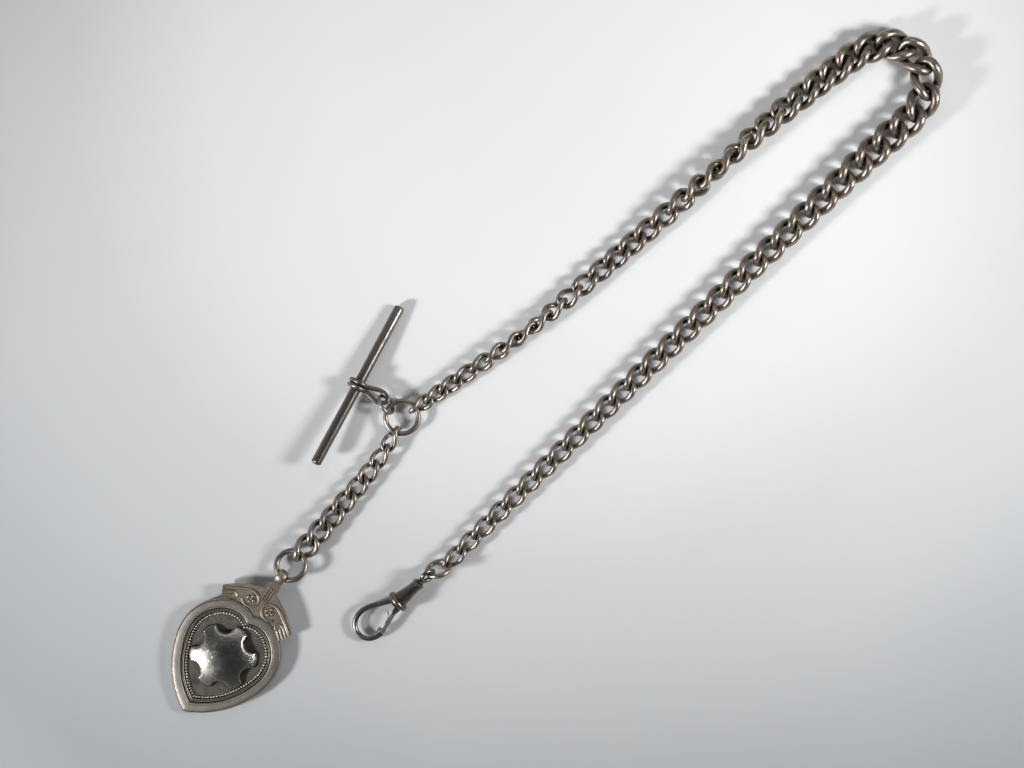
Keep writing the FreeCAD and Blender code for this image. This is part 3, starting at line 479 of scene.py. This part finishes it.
def fob_border():
    """Rounded rim with a fine lip along its outer edge, and the double step inside it."""
    rim = [(0, -1.2), (0, -0.45), (0.015, -0.3), (0.05, -0.18), (0.09, -0.18), (0.12, -0.28),
           (0.15, -0.26), (0.18, -0.12), (0.24, -0.07), (0.5, -0.03), (0.71, -0.02), (0.74, -0.09),
           (0.77, -0.09), (0.80, -0.01), (0.86, 0), (0.91, -0.05), (0.96, -0.18), (0.99, -0.38),
           (1, -0.55), (1, -1.2)]
    heart_band("fob_rim_rounded", "fob_rim", PLATE_LINE, RIM_INNER, [(s, RIM_TOP + h) for s, h in rim])
    step = [(0, -0.7), (0, -0.12), (0.08, -0.02), (0.2, 0), (0.32, -0.05), (0.42, -0.2), (0.5, -0.22),
            (0.6, -0.12), (0.72, -0.08), (0.85, -0.14), (0.95, -0.3), (1, -0.45), (1, -0.7)]
    heart_band("fob_step_rounded", "fob_inner_step", STEP_OUTER, STEP_INNER,
               [(s, STEP_TOP + h) for s, h in step])


def bead(radius, rings=6, sides=10):
    """Points and faces of one small round bead."""
    verts = [(0, 0, radius)]
    for i in range(1, rings):
        tilt = math.pi * i / rings
        for j in range(sides):
            turn = 2 * math.pi * j / sides
            verts.append((radius * math.sin(tilt) * math.cos(turn), radius * math.sin(tilt) * math.sin(turn),
                          radius * math.cos(tilt)))
    verts.append((0, 0, -radius))
    faces = []
    for j in range(sides):
        k = (j + 1) % sides
        faces.append((0, 1 + j, 1 + k))
        for i in range(rings - 2):
            row = 1 + i * sides
            faces.append((row + j, row + sides + j, row + sides + k, row + k))
        row = 1 + (rings - 2) * sides
        faces.append((row + j, len(verts) - 1, row + k))
    return np.array(verts), faces


def milgrain():
    """Row of beads along the bead border."""
    middle = (BEAD_OUTER + BEAD_INNER) / 2
    count = int(len_of(middle) / BEAD_SPACING)
    side = spaced(middle, count)
    line = np.concatenate([side, (side * (1, -1))[-2:0:-1]])
    one, faces = bead(BEAD_RADIUS)
    verts, all_faces = [], []
    for number, (x, y) in enumerate(line):
        verts.append(one + (x, y, PLATE_TOP + BEAD_HEIGHT))
        shift = number * len(one)
        all_faces += [tuple(v + shift for v in face) for face in faces]
    mesh = bpy.data.meshes.new("fob_milgrain")
    mesh.from_pydata([tuple(v) for v in FOB.world(np.concatenate(verts))], [], all_faces)
    settle("fob_milgrain", mesh, "fob_bead_border", BEAD_SILVER_PAINTED_BRIGHT)


def star_edge(off, hollow, tip):
    """Distance of the star's outline from its middle, at an angle from a hollow's middle."""
    scallop = tip - hollow
    limit = math.asin(scallop / tip)
    if abs(off) < limit:
        return tip * math.cos(off) - math.sqrt(scallop ** 2 - (tip * math.sin(off)) ** 2)
    shoulder = tip * math.cos(limit)
    share = (abs(off) - limit) / (math.pi / STAR_POINTS - limit)
    return shoulder + (tip - shoulder) * math.sin(share * math.pi / 2)


def star_boss():
    """Domed star: round hollows cut in a dome, blunt points, softly rolled edges."""
    middle = FOB.local(centroid("fob_boss"))[:2]
    places = FOB.local(points("fob_boss"))
    reach = np.linalg.norm(places[:, :2] - middle, axis=1)
    tip = reach.max()
    hollow = reach[places[:, 2] < PLATE_TOP + 0.01].min()
    rise = places[:, 2].max() - PLATE_TOP
    fall = places[:, 2].max() - places[reach > tip - 0.01, 2].max()
    sphere = (tip ** 2 + fall ** 2) / (2 * fall)
    columns = 2 * STAR_POINTS * STAR_STEPS
    step = 2 * math.pi / STAR_POINTS
    outline = []
    for j in range(columns):
        turn = 2 * math.pi * j / columns
        radius = star_edge(turn % step - step / 2, hollow, tip)
        outline.append((radius * math.cos(turn), radius * math.sin(turn)))
    outline = np.array(outline)
    shares = [0.004, 0.15, 0.3, 0.45, 0.6, 0.7, 0.78, 0.84, 0.88, 0.91, 0.935, 0.955, 0.97, 0.982, 0.992, 1]
    rows = []
    for share in shares:
        ring = outline * share
        depth = np.linalg.norm(ring[:, None] - outline[None], axis=2).min(axis=1)
        roll = BOSS_ROLL - np.minimum(depth, BOSS_ROLL)
        drop = BOSS_ROLL - np.sqrt(BOSS_ROLL ** 2 - roll ** 2)
        height = np.sqrt(sphere ** 2 - (ring ** 2).sum(axis=1)) - sphere + rise - drop
        rows.append(np.column_stack([ring + middle, PLATE_TOP + height]))
    rows.append(np.column_stack([outline + middle, np.full(columns, PLATE_TOP - BOSS_SINK)]))
    build("fob_star_boss", FOB.world(np.concatenate(rows)), capped_faces(len(rows), columns), "fob_boss")


def dressed(node, width=0.0, finish=None):
    """Cleaned copy of a node, its corners rounded where a width is given."""
    shape = welded(node)
    mesh = bpy.data.meshes.new(node + "_dressed")
    shape.to_mesh(mesh)
    shape.free()
    if "custom_normal" in mesh.attributes:
        mesh.attributes.remove(mesh.attributes["custom_normal"])
    piece = settle(node + "_dressed", mesh, node, finish, DRESSED_SHARP)
    if width:
        bevel = piece.modifiers.new("soft_edges", "BEVEL")
        bevel.width = width * MM
        bevel.segments = 3
        bevel.limit_method = "ANGLE"
        bevel.angle_limit = math.radians(DRESSED_SHARP)
        bevel.harden_normals = True
    even = piece.modifiers.new("even_shading", "WEIGHTED_NORMAL")
    even.keep_sharp = True


def domed_rod():
    """The T-bar's rod, turned with a low dome at each end."""
    corners = points("t_bar_rod")
    middle = centroid("t_bar_rod")
    axis = np.linalg.svd(corners - corners.mean(axis=0), full_matrices=False)[2][0]
    along = (corners - middle) @ axis
    half = np.abs(along).max()
    radius = np.linalg.norm(corners - middle - np.outer(along, axis), axis=1).max()
    side = np.cross(axis, (0, 0, 1))
    side /= np.linalg.norm(side)
    across = np.cross(axis, side)
    profile = []
    for step in range(DOME_STEPS):
        tilt = math.radians(DOME_START + (90 - DOME_START) * step / (DOME_STEPS - 1))
        place = half - DOME_DEPTH * MM * (1 - math.cos(tilt))
        profile.append((place, radius * math.sin(tilt) ** DOME_FULLNESS))
    profile += [(-place, reach) for place, reach in profile[::-1]]
    verts = []
    for place, reach in profile:
        for column in range(ROD_SIDES):
            turn = 2 * math.pi * column / ROD_SIDES
            out = side * math.cos(turn) + across * math.sin(turn)
            verts.append(middle + axis * place + out * reach)
    build("t_bar_rod_domed", verts, capped_faces(len(profile), ROD_SIDES), "t_bar_rod")


fob_border()
milgrain()
star_boss()
domed_rod()
for plain_node in ("fob_crown", "fob_bail", "t_bar_shackle", "clasp_barrel", "clasp_collar", "clasp_hook",
                   "clasp_eye", "clasp_spring"):
    dressed(plain_node)
dressed("clasp_gate", width=GATE_EDGE, finish=GATE_SILVER)


# ---------------------------------------------------------------- table, light, camera
VIEW_MIDDLE = Vector(centroid("centre_ring")) + VIEW_SHIFT


def table():
    """Pale table top under the chain, with the pool of light painted on it."""
    bpy.ops.mesh.primitive_grid_add(x_subdivisions=8, y_subdivisions=8, size=TABLE_SIZE,
                                    location=(0, 0, CAD_LOW.z))
    top = bpy.context.object
    top.name = "table"
    # Middle of the pool of light painted on the table.
    painted_light_at = VIEW_MIDDLE + PAINTED_LIGHT_MIDDLE
    paint(top, table_paper_with_painted_light((painted_light_at.x, painted_light_at.y, 0)))


def softbox(name, aim, azimuth, elevation, distance, size, power):
    """Rectangular area light at a bearing from the place it is aimed at."""
    flat = math.cos(math.radians(elevation))
    turn = math.radians(azimuth)
    offset = Vector((flat * math.cos(turn), flat * math.sin(turn), math.sin(math.radians(elevation))))
    data = bpy.data.lights.new(name, "AREA")
    data.shape = "RECTANGLE"
    data.size, data.size_y = size
    data.energy = power
    lamp = bpy.data.objects.new(name, data)
    bpy.context.scene.collection.objects.link(lamp)
    lamp.location = aim + offset * distance
    lamp.rotation_euler = (-offset).to_track_quat("-Z", "Y").to_euler()


def surroundings():
    """A dim room: dark straight above, paler toward the horizon and on its left side."""
    world = bpy.data.worlds.new("room")
    bpy.context.scene.world = world
    world.use_nodes = True
    tree = world.node_tree
    tree.nodes.clear()
    direction = add(tree, "ShaderNodeTexCoord").outputs["Generated"]
    split = add(tree, "ShaderNodeSeparateXYZ")
    link(tree, direction, split.inputs[0])
    tone = ramp(tree, split.outputs["Z"], [(0.0, 0.7), (0.3, 0.42), (0.6, 0.16), (0.85, 0.07), (1.0, 0.05)])
    across = add(tree, "ShaderNodeMapRange")
    across.inputs["From Min"].default_value = -1
    across.inputs["To Min"].default_value = SKY_LEFT
    across.inputs["To Max"].default_value = SKY_RIGHT
    link(tree, split.outputs["X"], across.inputs["Value"])
    sky = add(tree, "ShaderNodeBackground")
    link(tree, mix_values(tree, "MULTIPLY", across.outputs[0], SKY_STRENGTH), sky.inputs["Strength"])
    link(tree, tone, sky.inputs["Color"])
    out = add(tree, "ShaderNodeOutputWorld")
    link(tree, sky.outputs[0], out.inputs["Surface"])


def camera():
    """Camera straight above the picture's middle."""
    data = bpy.data.cameras.new("camera")
    data.lens, data.sensor_width = LENS, SENSOR
    data.clip_start, data.clip_end = 0.01, 10.0
    eye = bpy.data.objects.new("camera", data)
    bpy.context.scene.collection.objects.link(eye)
    distance = VIEW_WIDTH * LENS / SENSOR
    eye.location = (VIEW_MIDDLE.x, VIEW_MIDDLE.y, CAD_LOW.z + distance)
    bpy.context.scene.camera = eye


table()
surroundings()
camera()
softbox("right_box", VIEW_MIDDLE + RIGHT_AIM, -24, 45, 0.36, (0.10, 0.10), 1.4)
softbox("left_box", VIEW_MIDDLE + LEFT_AIM, 198, 37, 0.36, (0.07, 0.055), 1.75)
softbox("top_box", VIEW_MIDDLE, 90, 52, 0.50, (0.40, 0.25), 0.36)
bpy.context.scene.view_settings.view_transform = "Standard"
